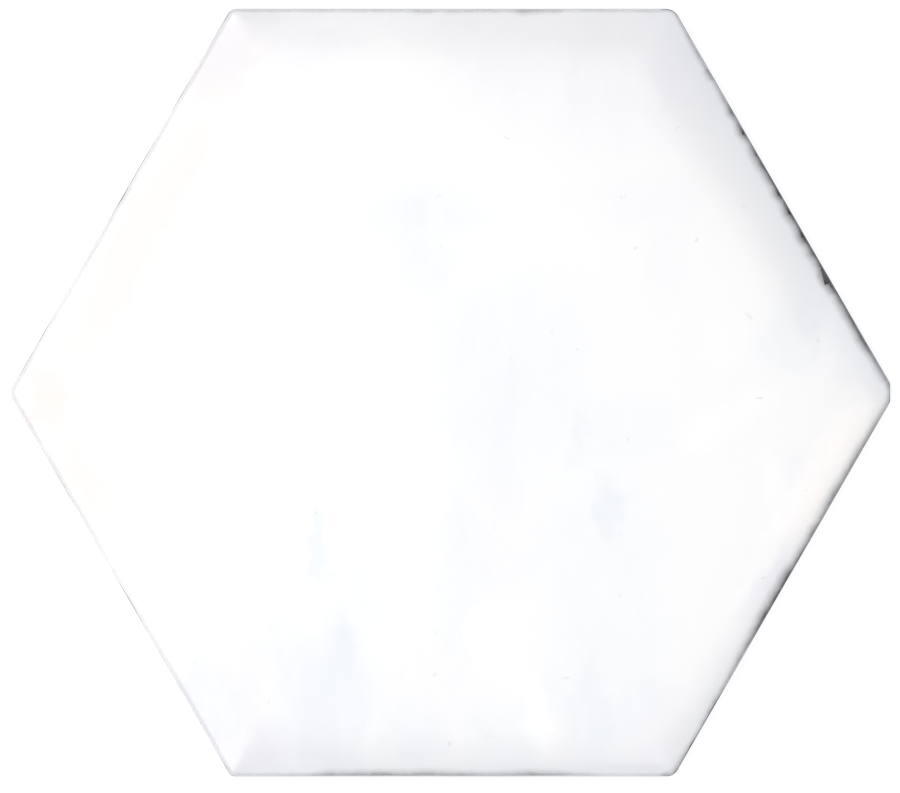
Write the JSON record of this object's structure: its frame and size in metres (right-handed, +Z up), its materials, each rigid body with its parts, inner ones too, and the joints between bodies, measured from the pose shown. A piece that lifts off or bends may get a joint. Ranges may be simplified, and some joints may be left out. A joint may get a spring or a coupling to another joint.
{
  "type": "hexagon floor tile",
  "caption": "Glazed ceramic hexagon floor tile: white cushion face with softly rounded rim, blunted corner and honeycomb-keyed back.",
  "frame": {"origin": "middle of the tile's back, on the surface that it lies on", "axes": "+Z up through the glazed face, +X towards the blunted corner, Y across one pair of flat sides"},
  "size_m": [0.172, 0.15, 0.009],
  "materials": {
    "white_glaze": "glossy"
  },
  "bodies": {
    "root": {"hexagon_tile": "white_glaze"}
  },
  "joints": []
}
